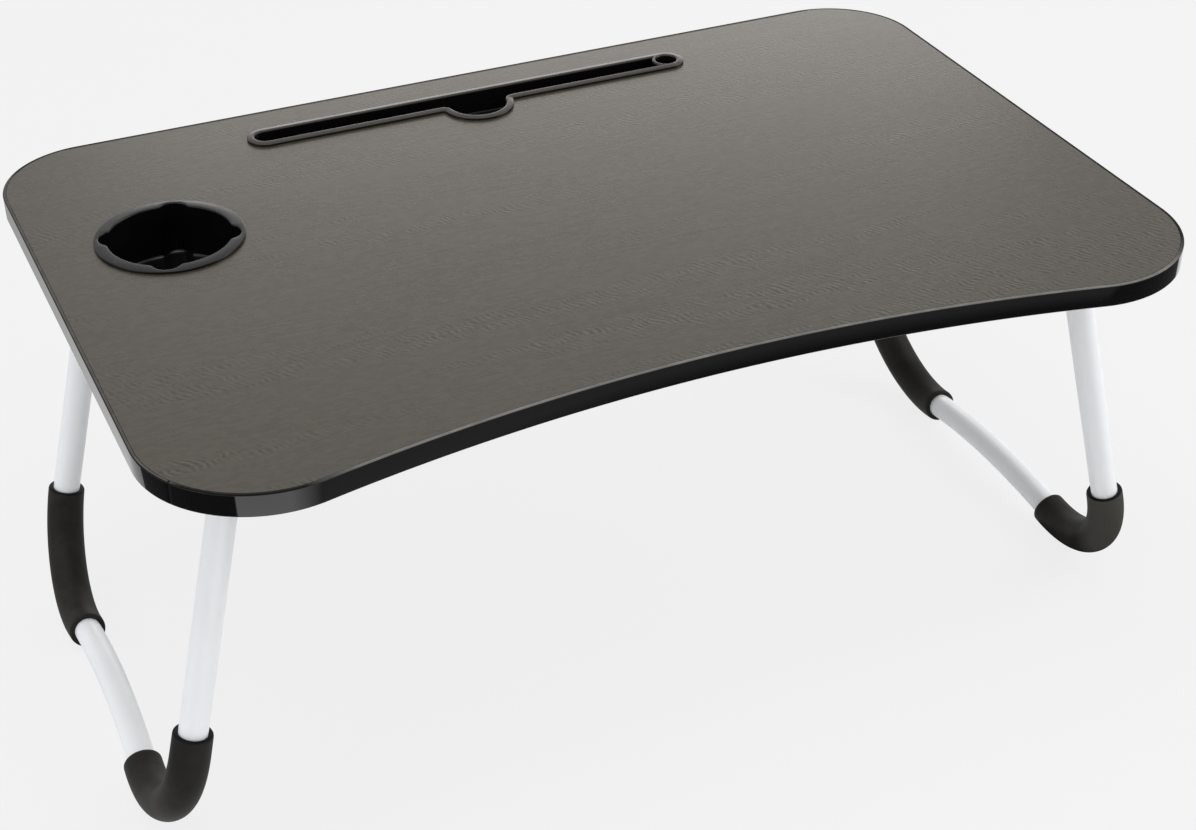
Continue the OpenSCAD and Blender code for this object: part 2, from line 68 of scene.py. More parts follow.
# The tablet tray: slot, raised rim, finger notch and pen hole
TRAY_X, TRAY_Y, TRAY_LENGTH = -4, 164, 291
SLOT_R, RIM_W, RIM_H, TRAY_WALL, TRAY_LOW_Z, TRAY_FLOOR = 6.9, 4.6, 2, 1.4, 255, 1.5
NOTCH_R, NOTCH_FORWARD, NOTCH_FILLET = 18, 9.5, 6
PEN_R, PEN_WALL, PEN_SIDES = 6.75, 2.3, 64
TRAY_LIP, TRAY_COVE = 1.0, 1.2

# The little bevel where the flange and the rim meet the top: how far in and how high
FOOT_IN, FOOT_UP = 0.2, 0.15

# The leg frames: the hinge's place, half the frame's width there, its two angles, and its bends
PIVOT_X, PIVOT_Y, PIVOT_Z, FRAME_HALF = 250, 7, 242, 135
SPLAY, LEAN, BEND_R, BAR_ARCH = 13, 2.2, 60, 8

# The rubber sleeves: how much they swell, and at the stations next to their mouths, how far
# their outside is rounded off and how far their bore flares
SLEEVE_R, SLEEVE_BORE_R, SLEEVE_SWELL = 11.25, 8.15, 0.28
MOUTH_ROUND, BORE_FLARE = (0.9, 0.45, 0.12), (0.35, 0.1)

LEFT, RIGHT, FRONT, BACK = -1, 1, -1, 1

# How far each sleeve runs past its bend: up the upright, below 0 where it stops short of
# the bend's end, and along the bar
SLEEVE_ENDS = {
    (LEFT, FRONT): (14, 2),
    (LEFT, BACK): (-5, 8),
    (RIGHT, FRONT): (4, 2),
    (RIGHT, BACK): (4, 3.5),
}

# The grey of the background in the photograph, as a share of white
PALE = 0.889


# ---- Mesh making ----


def on_arc(centre, radius, angle, outwards=1):
    """A point on an arc with the direction that faces away from the piece, angle in degrees."""
    c, s = math.cos(math.radians(angle)), math.sin(math.radians(angle))
    return centre[0] + radius * c, centre[1] + radius * s, outwards * c, outwards * s


def along_arc(centre, radius, start, end, steps, outwards=1):
    """Even steps along an arc, each with its direction, angles in degrees."""
    angles = (start + (end - start) * i / steps for i in range(steps + 1))
    return [on_arc(centre, radius, angle, outwards) for angle in angles]


def rounding(centre, radius, start, end, steps):
    """Corner points of a profile, angles in degrees."""
    return [station[:2] for station in along_arc(centre, radius, start, end, steps)]


def loft(rings, loop=True, closed=False):
    """Skins rings of equally many points.

    loop joins each ring's last point to its first, and closed the last ring to the first ring."""
    n = len(rings[0])
    points = [p for ring in rings for p in ring]
    faces = []
    for i in range(len(rings) if closed else len(rings) - 1):
        j = (i + 1) % len(rings)
        for k in range(n if loop else n - 1):
            m = (k + 1) % n
            faces.append((i * n + k, i * n + m, j * n + m, j * n + k))
    return points, faces


def make_piece(name, shape, finish, body, stands_for, smooth_below=35):
    """Makes one piece of the table from its shape in millimetres and sets it on its body.

    A shape is its points and its faces. Edges look smooth below smooth_below degrees."""
    points, faces = shape
    mesh = bpy.data.meshes.new(name)
    mesh.from_pydata([Vector(p) * MM for p in points], [], faces)
    mesh.validate()
    mesh.polygons.foreach_set("use_smooth", [True] * len(mesh.polygons))
    mesh.set_sharp_from_angle(angle=math.radians(smooth_below))
    mesh.materials.append(finish)
    piece = bpy.data.objects.new(name, mesh)
    bpy.context.scene.collection.objects.link(piece)
    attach(piece, body)
    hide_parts(*stands_for)


# ---- Edge band ----


def edge_path():
    """Once round the top from the seam: points on the outline with their outward directions."""
    front_x, front_y = TOP_LENGTH / 2 - FRONT_R, FRONT_R - TOP_DEPTH / 2
    back_x, back_y = TOP_LENGTH / 2 - BACK_R, TOP_DEPTH / 2 - BACK_R
    hollow_r = (front_x**2 + FRONT_CURVE**2) / (2 * FRONT_CURVE) - FRONT_R
    hollow_y = FRONT_CURVE - TOP_DEPTH / 2 - hollow_r
    half = math.degrees(math.asin(front_x / (hollow_r + FRONT_R)))
    seam_half = math.degrees(SEAM_GAP / 2 / FRONT_R)
    front_left = (-front_x, front_y)
    path = along_arc(front_left, FRONT_R, SEAM_AT + seam_half, 270 + half, 60)
    path[1] = on_arc(front_left, FRONT_R, SEAM_AT + SEAM_EASE_TURN)
    path += along_arc((0, hollow_y), hollow_r, 90 + half, 90 - half, 120, outwards=-1)[1:]
    path += along_arc((front_x, front_y), FRONT_R, 270 - half, 360, 90)[1:]
    path += [(TOP_LENGTH / 2, front_y + (back_y - front_y) * i / 24, 1, 0) for i in range(1, 25)]
    path += along_arc((back_x, back_y), BACK_R, 0, 90, 70)[1:]
    path += [(back_x - 2 * back_x * i / 40, TOP_DEPTH / 2, 0, 1) for i in range(1, 41)]
    path += along_arc((-back_x, back_y), BACK_R, 90, 180, 70)[1:]
    path += [(-TOP_LENGTH / 2, back_y - (back_y - front_y) * i / 24, -1, 0) for i in range(1, 25)]
    path += along_arc(front_left, FRONT_R, 180, SEAM_AT - seam_half, 36)[1:]
    path[-2] = on_arc(front_left, FRONT_R, SEAM_AT - SEAM_EASE_TURN)
    return path


def band_profile():
    """Section of the band: how far out from the outline and how high above the underside."""
    inner_round, top_round, skin = 0.25, 0.75, 0.05
    profile = rounding((-BAND_ROUND - skin, BAND_ROUND), BAND_ROUND, -90, 0, 8)
    profile += rounding((-top_round - skin, BOARD_T - top_round), top_round, 0, 90, 8)
    profile += rounding((inner_round - BAND_T, BOARD_T - inner_round), inner_round, 90, 180, 3)
    profile += rounding((inner_round - BAND_T, inner_round), inner_round, 180, 270, 2)
    return profile


def make_edge_band(finish):
    """One strip all the way round, closed and slightly eased at its two cut ends."""
    profile = band_profile()
    path = edge_path()
    rings = []
    for i, (x, y, nx, ny) in enumerate(path):
        eased = SEAM_EASE if i in (0, len(path) - 1) else 0
        ring = []
        for out, up in profile:
            out, up = min(out, -eased), min(max(up, eased), BOARD_T - eased)
            ring.append((x + out * nx, y + out * ny, UNDER_Z + up))
        rings.append(ring)
    points, faces = loft(rings)
    n = len(profile)
    faces.append(tuple(range(n)))
    faces.append(tuple(range(len(points) - 1, len(points) - 1 - n, -1)))
    shape = points, faces
    make_piece("edge_band_strip", shape, finish, "table_top", ["edge_band"])


# ---- Cup holder ----


def cup_plan_radius(angle):
    """From the cup's axis to its wall, in a direction in radians from a channel's middle."""
    out = CUP_R + CHANNEL_REACH - CHANNEL_R
    turn = (angle + math.pi / 4) % (math.pi / 2) - math.pi / 4
    inside = CHANNEL_R**2 - (out * math.sin(turn)) ** 2
    channel = out * math.cos(turn) + math.sqrt(max(inside, 0))
    return (CUP_R + channel + math.hypot(CUP_R - channel, CHANNEL_BLEND)) / 2


def cup_flange_z(r):
    """Height of the flange's top, which falls away from the cup like a very flat cone."""
    past_lip = max(0.0, r - CUP_R - CUP_LIP)
    return TOP_Z + CUP_FLANGE_H - past_lip * math.tan(math.radians(CUP_FLANGE_FALL))


def make_cup_holder(finish):
    """A shell round the cup's axis: flange, lip, wall, cove and floor, then its outside."""
    lip, cove, draft = CUP_LIP, CUP_COVE, CUP_DRAFT
    floor_z = TOP_Z - CUP_DEPTH
    shell_low = floor_z - CUP_FLOOR
    edge_r = CUP_FLANGE_R - CUP_OUTER_ROUND
    edge_z = cup_flange_z(edge_r) - CUP_OUTER_ROUND
    outer_edge = [(CUP_FLANGE_R - FOOT_IN, TOP_Z), (CUP_FLANGE_R, TOP_Z + FOOT_UP)]
    outer_edge += rounding((edge_r, edge_z), CUP_OUTER_ROUND, 0, 85, 6)
    floor_cove = rounding((-draft - cove, floor_z + cove), cove, 0, -90, 10)
    shell_foot = rounding((-CUP_FOOT_ROUND, shell_low + CUP_FOOT_ROUND), CUP_FOOT_ROUND, -90, 0, 5)
    sides = 384
    rings = []
    for k in range(sides):
        angle = 2 * math.pi * k / sides
        plan = cup_plan_radius(angle)
        flange_z = cup_flange_z(plan + lip)
        wall_h = flange_z - lip - floor_z - cove
        reach = list(outer_edge)
        reach += [(plan + o, z) for o, z in rounding((lip, flange_z - lip), lip, 90, 180, 8)]
        reach += [(plan - draft * t, flange_z - lip - wall_h * t) for t in (0.25, 0.5, 0.75)]
        reach += [(plan + o, z) for o, z in floor_cove]
        reach += [(plan * t, floor_z) for t in (0.8, 0.55, 0.3, 0.1)]
        turn_in = len(reach) - 1
        reach += [(plan * t, shell_low) for t in (0.1, 0.3, 0.55, 0.8)]
        reach += [(plan + CUP_WALL - draft + o, z) for o, z in shell_foot]
        reach += [(plan + CUP_WALL, TOP_Z)]
        a = angle + math.radians(CUP_TURN)
        rings.append([(CUP_X + r * math.cos(a), CUP_Y + r * math.sin(a), z) for r, z in reach])
    points, faces = loft(rings, closed=True)
    profile = len(rings[0])
    faces = [f for f in faces if not {i % profile for i in f} == {turn_in, turn_in + 1}]
    faces.append(tuple(k * profile + turn_in for k in range(sides)))
    faces.append(tuple(k * profile + turn_in + 1 for k in reversed(range(sides))))
    shape, slot = (points, faces), "gloss_black_insert"
    make_piece("cup_holder_insert", shape, finish, "table_top", ["cup_holder"])


# ---- Tablet tray ----


def tray_loop(grow, right_end, hollow_r=0):
    """Outline of the slot with its finger notch, grown by some millimetres.

    It always has as many points. The right end is a half round, or where hollow_r is given, hollow
    round the pen hole. The hollow stops just short of a half circle."""
    left_end = -(TRAY_LENGTH / 2 - SLOT_R - RIM_W)
    fillet_y = -SLOT_R - NOTCH_FILLET
    fillet_x = math.sqrt((NOTCH_R + NOTCH_FILLET) ** 2 - (NOTCH_FORWARD + fillet_y) ** 2)
    meet = math.degrees(math.atan2(-NOTCH_FORWARD - fillet_y, fillet_x))
    r = SLOT_R + grow
    loop = along_arc((left_end, 0), r, 90, 270, 36)
    loop += along_arc((-fillet_x, fillet_y), NOTCH_FILLET - grow, 90, meet, 10)
    loop += along_arc((0, -NOTCH_FORWARD), NOTCH_R + grow, 180 + meet, 360 - meet, 48)[1:]
    loop += along_arc((fillet_x, fillet_y), NOTCH_FILLET - grow, 180 - meet, 90, 10)[1:]
    if hollow_r:
        widest = 0.995
        turn = math.degrees(math.asin(min(r / (hollow_r - grow), widest)))
        loop += along_arc((right_end, 0), hollow_r - grow, 180 + turn, 180 - turn, 36)
    else:
        loop += along_arc((right_end, 0), r, -90, 90, 36)
    return [(TRAY_X + x, TRAY_Y + y) for x, y, _, _ in loop]


def pen_loop(x, grow):
    """Outline of the pen hole, grown by some millimetres."""
    circle = rounding((x, 0), PEN_R + grow, 0, 360, PEN_SIDES)[:-1]
    return [(TRAY_X + px, TRAY_Y + py) for px, py in circle]


def fill_between(points, loops, z, flip=False):
    """Triangles of a flat face between an outer loop and those inside it, as numbers of points."""
    polygons = [[Vector((points[i][0], points[i][1], z)) for i in loop] for loop in loops]
    numbers = [i for loop in loops for i in loop]
    triangles = [tuple(numbers[i] for i in t) for t in tessellate_polygon(polygons)]
    fixed = []
    for a, b, c in triangles:
        pa, pb, pc = (Vector(points[i][:2]) for i in (a, b, c))
        upward = (pb - pa).cross(pc - pa) > 0
        fixed.append((a, b, c) if upward != flip else (a, c, b))
    return fixed


def tray_outside():
    """Section of the tray's outside, from below to its rim: how far it is grown, and heights."""
    rim_z = TOP_Z + RIM_H
    under = [(TRAY_WALL - 1, TRAY_LOW_Z), (TRAY_WALL - 0.3, TRAY_LOW_Z + 0.25)]
    under += [(TRAY_WALL, TRAY_LOW_Z + 1)]
    foot = [(TRAY_WALL, TOP_Z), (RIM_W - FOOT_IN, TOP_Z), (RIM_W, TOP_Z + FOOT_UP)]
    steep = [(RIM_W, TOP_Z + 1.2), (RIM_W - 0.05, TOP_Z + 1.4), (RIM_W - 0.2, TOP_Z + 1.55)]
    flat = [(RIM_W - 0.45, TOP_Z + 1.64), (RIM_W - 1.5, rim_z - 0.2), (RIM_W - 2.5, rim_z - 0.06)]
    return under + foot + steep + flat + [(RIM_W - 3.2, rim_z)]


def make_tablet_tray(finish):
    """A long shell under one raised rim, with the slot and the pen hole sunk into it."""
    rim_half = TRAY_LENGTH / 2 - SLOT_R - RIM_W
    pen_x = TRAY_LENGTH / 2 - RIM_W - PEN_R
    rim_z = TOP_Z + RIM_H
    deep_z = TRAY_LOW_Z + TRAY_FLOOR
    rings = [[(x, y, z) for x, y in tray_loop(g, rim_half)] for g, z in tray_outside()]
    points, faces = loft(rings)
    n = len(rings[0])
    bottom = list(range(n))
    rim_top = list(range(len(points) - n, len(points)))

    def sink(loop_at, turns):
        """Adds a hole's wall from the rim down. Gives the numbers of its top and floor loops."""
        wall = rounding((TRAY_LIP, rim_z - TRAY_LIP), TRAY_LIP, 90, 180, 5)
        wall += rounding((-TRAY_COVE, deep_z + TRAY_COVE), TRAY_COVE, 0, -90, 6)
        base = len(points)
        wall_points, wall_faces = loft([[(x, y, z) for x, y in loop_at(o)] for o, z in wall])
        points.extend(wall_points)
        faces.extend(tuple(base + i for i in f) for f in wall_faces)
        return list(range(base, base + turns)), list(range(len(points) - turns, len(points)))

    slot_top, slot_floor = sink(lambda g: tray_loop(g, pen_x, PEN_R + PEN_WALL), n)
    pen_top, pen_floor = sink(lambda g: pen_loop(pen_x, g), PEN_SIDES)
    faces += fill_between(points, [rim_top, slot_top, pen_top], rim_z)
    faces += fill_between(points, [slot_floor], deep_z)
    faces += fill_between(points, [pen_floor], deep_z)
    faces += fill_between(points, [bottom], TRAY_LOW_Z, flip=True)
    shape, slot = (points, faces), "gloss_black_insert"
    make_piece("tablet_tray_insert", shape, finish, "table_top", ["tablet_tray"])


# ---- Rubber sleeves ----

# From the hinge down the frame's own plane to its lowest centre line, which lies a sleeve's
# radius over the floor
PLANE_L = (PIVOT_Z - SLEEVE_R) / math.cos(math.radians(SPLAY))

LegCurve = namedtuple("LegCurve", "lean upright bend_y bend_z bend_length arch_r arch_half")


def leg_curve():
    """Half a leg frame's centre line in its plane: an upright, a bend, half the arched bar."""
    lean = math.radians(LEAN)
    bend_z = BEND_R - PLANE_L
    upright = -(bend_z + BEND_R * math.sin(lean)) / math.cos(lean)
    bend_y = FRAME_HALF + upright * math.sin(lean) - BEND_R * math.cos(lean)
    arch_r = (bend_y**2 + BAR_ARCH**2) / (2 * BAR_ARCH) - BEND_R
    arch_half = math.asin(bend_y / (BEND_R + arch_r))
    bend_length = BEND_R * (lean + math.pi / 2 + arch_half)
    return LegCurve(lean, upright, bend_y, bend_z, bend_length, arch_r, arch_half)


LEG = leg_curve()


def back_leg_centre(s):
    """A back leg's centre line, s millimetres past its bend's top: y, z and the direction."""
    if s < 0:
        across, down = math.sin(LEG.lean), math.cos(LEG.lean)
        y, z = FRAME_HALF + LEG.upright * across, -LEG.upright * down
        return y + s * across, z - s * down, across, -down
    if s < LEG.bend_length:
        a = LEG.lean - s / BEND_R
        y, z = LEG.bend_y + BEND_R * math.cos(a), LEG.bend_z + BEND_R * math.sin(a)
        return y, z, math.sin(a), -math.cos(a)
    a = LEG.arch_half - (s - LEG.bend_length) / LEG.arch_r
    arch_z = BAR_ARCH - PLANE_L - LEG.arch_r
    return LEG.arch_r * math.sin(a), arch_z + LEG.arch_r * math.cos(a), -math.cos(a), math.sin(a)


def sleeve_stations(up, along):
    """Places along a back sleeve, closer near its ends, with each one's share of the way."""
    start, end = -up, LEG.bend_length + along
    close, steps = (0, 0.25, 0.8, 1.6, 3), 50
    middle = end - start - 2 * close[-1]
    reach = [start + s for s in close]
    reach += [start + close[-1] + middle * i / steps for i in range(1, steps)]
    reach += [end - s for s in reversed(close)]
    return [(*back_leg_centre(s), (s - start) / (end - start)) for s in reach]


def on_leg(side, end, x, y, z):
    """A point given in the frame's own plane, at its place on the open table."""
    a = math.radians(SPLAY)
    return (
        side * (PIVOT_X + x * math.cos(a) - z * math.sin(a)),
        PIVOT_Y + end * y,
        PIVOT_Z + x * math.sin(a) + z * math.cos(a),
    )


def at_mouth(amounts, i, total):
    """The amount for a station that lies near either end of a sleeve, 0 for the others."""
    from_end = min(i, total - 1 - i)
    return amounts[from_end] if from_end < len(amounts) else 0


def make_sleeve(side, end, finish):
    """A rubber tube round one bend, swollen in its middle: its outside, then its bore."""
    stations = sleeve_stations(*SLEEVE_ENDS[side, end])
    total = len(stations)
    sides = 56
    outside, bore = [], []
    for i, (*place, share) in enumerate(stations):
        swell = SLEEVE_SWELL * math.sin(math.pi * share) ** 0.6
        outside.append((SLEEVE_R - SLEEVE_SWELL + swell - at_mouth(MOUTH_ROUND, i, total), *place))
        bore.append((SLEEVE_BORE_R + at_mouth(BORE_FLARE, i, total), *place))
    skin = []
    for radius, y, z, dy, dz in outside + bore[::-1]:
        ring = []
        for k in range(sides):
            a = 2 * math.pi * k / sides
            c, s = radius * math.cos(a), radius * math.sin(a)
            ring.append(on_leg(side, end, s, y + c * dz, z - c * dy))
        skin.append(ring)
    points, faces = loft(skin, closed=True)
    if side * end > 0:
        faces = [f[::-1] for f in faces]
    name = f"{'left' if side == LEFT else 'right'}_{'front' if end == FRONT else 'back'}"
    leg = "left_leg" if side == LEFT else "right_leg"
    shape = points, faces
    make_piece(f"{name}_rubber", shape, finish, leg, [f"{name}_sleeve"])


# ---- Finishes ----


class Wiring:
    """Adds nodes to one tree and joins them. An input takes a number, a colour or a socket."""

    def __init__(self, tree):
        self.tree = tree

    def feed(self, socket, value):
        if isinstance(value, bpy.types.NodeSocket):
            self.tree.links.new(value, socket)
        else:
            socket.default_value = value

    def add(self, kind, inputs=None, **settings):
        node = self.tree.nodes.new("ShaderNode" + kind)
        for key, value in settings.items():
            setattr(node, key, value)
        for key, value in (inputs or {}).items():
            self.feed(node.inputs[key], value)
        return node

    def maths(self, operation, a, b=0.0, clamp=False):
        return self.add("Math", {0: a, 1: b}, operation=operation, use_clamp=clamp).outputs[0]

    def times(self, a, b):
        return self.maths("MULTIPLY", a, b)

    def dot(self, a, b):
        return self.add("VectorMath", {0: a, 1: b}, operation="DOT_PRODUCT").outputs["Value"]

    def noise(self, where, scale, detail=3.0, roughness=0.5, distortion=0.0):
        inputs = {"Vector": where, "Scale": scale, "Detail": detail}
        inputs |= {"Roughness": roughness, "Distortion": distortion}
        return self.add("TexNoise", inputs).outputs["Fac"]

    def stretch(self, where, scale, place=(0, 0, 0)):
        return self.add("Mapping", {"Vector": where, "Scale": scale, "Location": place}).outputs[0]

    def spread(self, value, low, high, to_low=0.0, to_high=1.0):
        """An even slope from to_low at low to to_high at high, level on either side."""
        inputs = {"Value": value, "From Min": low, "From Max": high}
        inputs |= {"To Min": to_low, "To Max": to_high}
        return self.add("MapRange", inputs, clamp=True).outputs[0]

    def between(self, value, up_from, up_to, down_from, down_to):
        """1 between up_to and down_from, 0 outside of up_from and down_to."""
        up = self.spread(value, up_from, up_to)
        return self.times(up, self.spread(value, down_from, down_to, 1.0, 0.0))

    def mix(self, share, a, b):
        """A blend of two colours, by the Mix node's sockets for colours: 6 and 7 in, 2 out."""
        node = self.add("Mix", data_type="RGBA")
        for socket, value in zip((node.inputs[0], node.inputs[6], node.inputs[7]), (share, a, b)):
            self.feed(socket, value)
        return node.outputs[2]

    def place(self):
        """The place in the piece's mesh, in metres: a table piece's place on the open table."""
        return self.add("TexCoord").outputs["Object"]

    def xyz(self, vector):
        """The three parts of a vector."""
        return self.add("SeparateXYZ", {0: vector}).outputs

    def upwards(self):
        """How much the surface faces up: 1 up, -1 down."""
        return self.xyz(self.add("NewGeometry").outputs["Normal"])[2]


def colour(r, g, b):
    return (r, g, b, 1.0)


def new_group(name, takes, gives):
    """An empty group with named sockets: gives it, its wiring, its inputs and its outputs."""
    group = bpy.data.node_groups.new(name, "ShaderNodeTree")
    new_socket = group.interface.new_socket
    for label, kind, value in takes:
        socket = new_socket(name=label, in_out="INPUT", socket_type="NodeSocket" + kind)
        if value is not None:
            socket.default_value = value
    for label, kind in gives:
        new_socket(name=label, in_out="OUTPUT", socket_type="NodeSocket" + kind)
    wiring = Wiring(group)
    source = group.nodes.new("NodeGroupInput")
    target = group.nodes.new("NodeGroupOutput")
    return group, wiring, source.outputs, target.inputs


def handling_group():
    """Faint smears and dust from handling, as two masks."""
    takes = [("Position", "Vector", None), ("Smear size", "Float", 18.0), ("Dust", "Float", 0.3)]
    gives = [("Smears", "Float"), ("Dust", "Float")]
    group, w, given, out = new_group("Handling marks", takes, gives)
    smear = w.noise(w.stretch(given["Position"], (1, 1.6, 1)), given["Smear size"], 4, 0.55, 0.6)
    w.feed(out["Smears"], w.spread(smear, 0.42, 0.68))
    specks = w.noise(given["Position"], 2400.0, 1.0, 0.4)
    drift = w.noise(given["Position"], 11.0, 2.0)
    dust = w.times(w.spread(specks, 0.64, 0.74), w.spread(drift, 0.4, 0.65))
    w.feed(out["Dust"], w.times(dust, given["Dust"]))
    return group


def scratches_group():
    """Hairline scratches in two directions, as a mask."""
    takes = [("Position", "Vector", None), ("Fineness", "Float", 60.0), ("Amount", "Float", 0.5)]
    group, w, given, out = new_group("Hairline scratches", takes, [("Mask", "Float")])
    masks = []
    for angle, width in ((0.5, 0.003), (2.1, 0.0025)):
        turning = {"Vector": given["Position"], "Angle": angle}
        turned = w.add("VectorRotate", turning, rotation_type="Z_AXIS").outputs[0]
        lines = w.noise(w.stretch(turned, (0.03, 1, 1)), given["Fineness"], 2, 0.5)
        off_line = w.maths("ABSOLUTE", w.maths("SUBTRACT", lines, 0.5))
        line = w.spread(off_line, 0.0, width, 1.0, 0.0)
        broken = w.spread(w.noise(given["Position"], 24.0, 2.0), 0.54, 0.62)
        masks.append(w.times(line, broken))
    both = w.maths("MAXIMUM", *masks)
    w.feed(out["Mask"], w.times(both, given["Amount"]))
    return group


def edge_wear_group():
    """A mask on outer edges, broken up by noise."""
    takes = [("Position", "Vector", None), ("Width", "Float", 0.0006), ("Amount", "Float", 0.5)]
    group, w, given, out = new_group("Edge wear", takes, [("Mask", "Float")])
    softened = w.add("Bevel", {"Radius": given["Width"]}, samples=4).outputs[0]
    straight = w.add("NewGeometry").outputs["Normal"]
    edge = w.spread(w.dot(softened, straight), 0.86, 0.99, 1.0, 0.0)
    broken = w.spread(w.noise(given["Position"], 240.0, 3.0), 0.38, 0.6)
    w.feed(out["Mask"], w.times(w.times(edge, broken), given["Amount"]))
    return group


def moulded_skin_group():
    """The fine unevenness of moulded or painted surfaces, as a height."""
    takes = [("Position", "Vector", None), ("Grain", "Float", 900.0)]
    takes += [("Waves", "Float", 40.0), ("Waviness", "Float", 0.5)]
    group, w, given, out = new_group("Moulded skin", takes, [("Height", "Float")])
    grain = w.noise(given["Position"], given["Grain"], 2.0, 0.5)
    waves = w.noise(given["Position"], given["Waves"], 1.0, 0.4)
    w.feed(out["Height"], w.maths("ADD", grain, w.times(waves, given["Waviness"])))
    return group


HANDLING, SCRATCHES = handling_group(), scratches_group()
EDGE_WEAR, SKIN = edge_wear_group(), moulded_skin_group()


def use(w, group, **inputs):
    """Places a shared group in a material with this material's own values."""
    node = w.add("Group", node_tree=group)
    for key, value in inputs.items():
        w.feed(node.inputs[key.replace("_", " ")], value)
    return node.outputs


def new_finish(name, **constants):
    """A material with one Principled BSDF, whose plain values are set on its own sockets."""
    finish = bpy.data.materials.new(name)
    finish.use_nodes = True
    w = Wiring(finish.node_tree)
    shader = finish.node_tree.nodes["Principled BSDF"]
    for key, value in constants.items():
        shader.inputs[key.replace("_", " ")].default_value = value
    return finish, w, shader


def bump(w, shader, height, distance, strength):
    """Gives a finish its relief: distance in metres."""
    node = w.add("Bump", {"Height": height, "Distance": distance, "Strength": strength})
    w.feed(shader.inputs["Normal"], node.outputs[0])


def laminate_finish():
    """Grey-brown wood laminate: grain along the table, ripple that leans across it, and mottle."""
    finish, w, shader = new_finish("wood-grain laminate", IOR=1.45)
    place = w.place()
    # The grain: fibres and broader streaks that sway a little, with short dark pores
    sway = w.noise(w.stretch(place, (2.2, 7, 1)), 1.0, 2.0)
    bent = w.add("CombineXYZ", {0: 0.0, 1: w.times(sway, 0.05), 2: 0.0}).outputs[0]
    grain_place = w.add("VectorMath", {0: place, 1: bent}, operation="ADD").outputs[0]
    fibres = w.noise(w.stretch(grain_place, (14, 520, 1)), 1.0, 4.0, 0.6)
    broad = w.noise(w.stretch(grain_place, (2.6, 30, 1)), 1.0, 3.0, 0.55)
    pores = w.noise(w.stretch(grain_place, (60, 1300, 1), (3, 1, 0)), 1.0, 2.0, 0.5)
    pore = w.spread(pores, 0.60, 0.72)
    tone = w.maths("ADD", w.times(fibres, 0.5), w.times(broad, 0.5))
    dark_grain, light_grain = colour(0.0091, 0.0033, 0.0024), colour(0.0171, 0.0092, 0.0049)
    base = w.mix(w.spread(tone, 0.36, 0.66), dark_grain, light_grain)
    # The ripple: strokes 3.3 mm apart, in broken bands that fade towards the back
    lean, radians_per_metre, wander = (0.86, 0.51, 0.0), 1900.0, 17.0
    drift = w.noise(w.stretch(place, (60, 110, 1)), 1.0, 2.0)
    phase = w.maths("ADD", w.times(w.dot(place, lean), radians_per_metre), w.times(drift, wander))
    stroke = w.maths("SINE", phase)
    band_noise = w.noise(w.stretch(place, (2.6, 34, 1), (5, 2, 0)), 1.0, 2.0, 0.45)
    bands = w.spread(band_noise, 0.45, 0.60)
    broken = w.spread(w.noise(w.stretch(place, (110, 230, 1)), 1.0, 2.0), 0.43, 0.58, 0.06, 1.0)
    to_back = w.xyz(place)[1]
    fade = w.spread(to_back, -0.02, 0.12, 1.0, 0.5)
    ripple = w.times(w.times(w.times(stroke, bands), broken), fade)
    trough = w.mix(0.95, base, colour(0.002, 0.0015, 0.0005))
    crest = w.mix(0.85, base, colour(0.072, 0.0565, 0.0375))
    base = w.mix(w.spread(ripple, -1.0, 1.0), trough, crest)
    # The mottle, then the pores over it
    mottle = w.noise(w.stretch(place, (170, 330, 1), (0, 4, 0)), 1.0, 3.0, 0.6)
    base = w.mix(w.spread(mottle, 0.42, 0.60, 0.0, 0.40), base, colour(0.056, 0.044, 0.0305))
    base = w.mix(w.times(pore, 0.45), base, colour(0.005, 0.004, 0.003))
    marks = use(w, HANDLING, Position=place, Smear_size=14.0, Dust=0.14)
    scratch = use(w, SCRATCHES, Position=place, Fineness=420.0, Amount=0.3)["Mask"]
    base = w.mix(marks["Dust"], base, colour(0.3, 0.29, 0.28))
    base = w.mix(w.times(scratch, 0.2), base, colour(0.12, 0.115, 0.11))
    w.feed(shader.inputs["Base Color"], base)
    smoother = w.times(marks["Smears"], -0.02)
    rough = w.maths("ADD", w.spread(fibres, 0.3, 0.7, 0.265, 0.305), smoother)
    rough = w.maths("ADD", rough, w.times(pore, 0.06))
    # A dull line of old glue beside the band, along the back
    glue = w.spread(to_back, 0.1990, 0.1998)
    w.feed(shader.inputs["Roughness"], w.maths("ADD", rough, w.times(glue, 0.45), clamp=True))
    height = w.maths("SUBTRACT", w.times(fibres, 0.6), w.times(pore, 0.35))
    height = w.maths("ADD", height, w.times(ripple, 0.55))
    bump(w, shader, height, 0.00006, 0.6)
    return finish


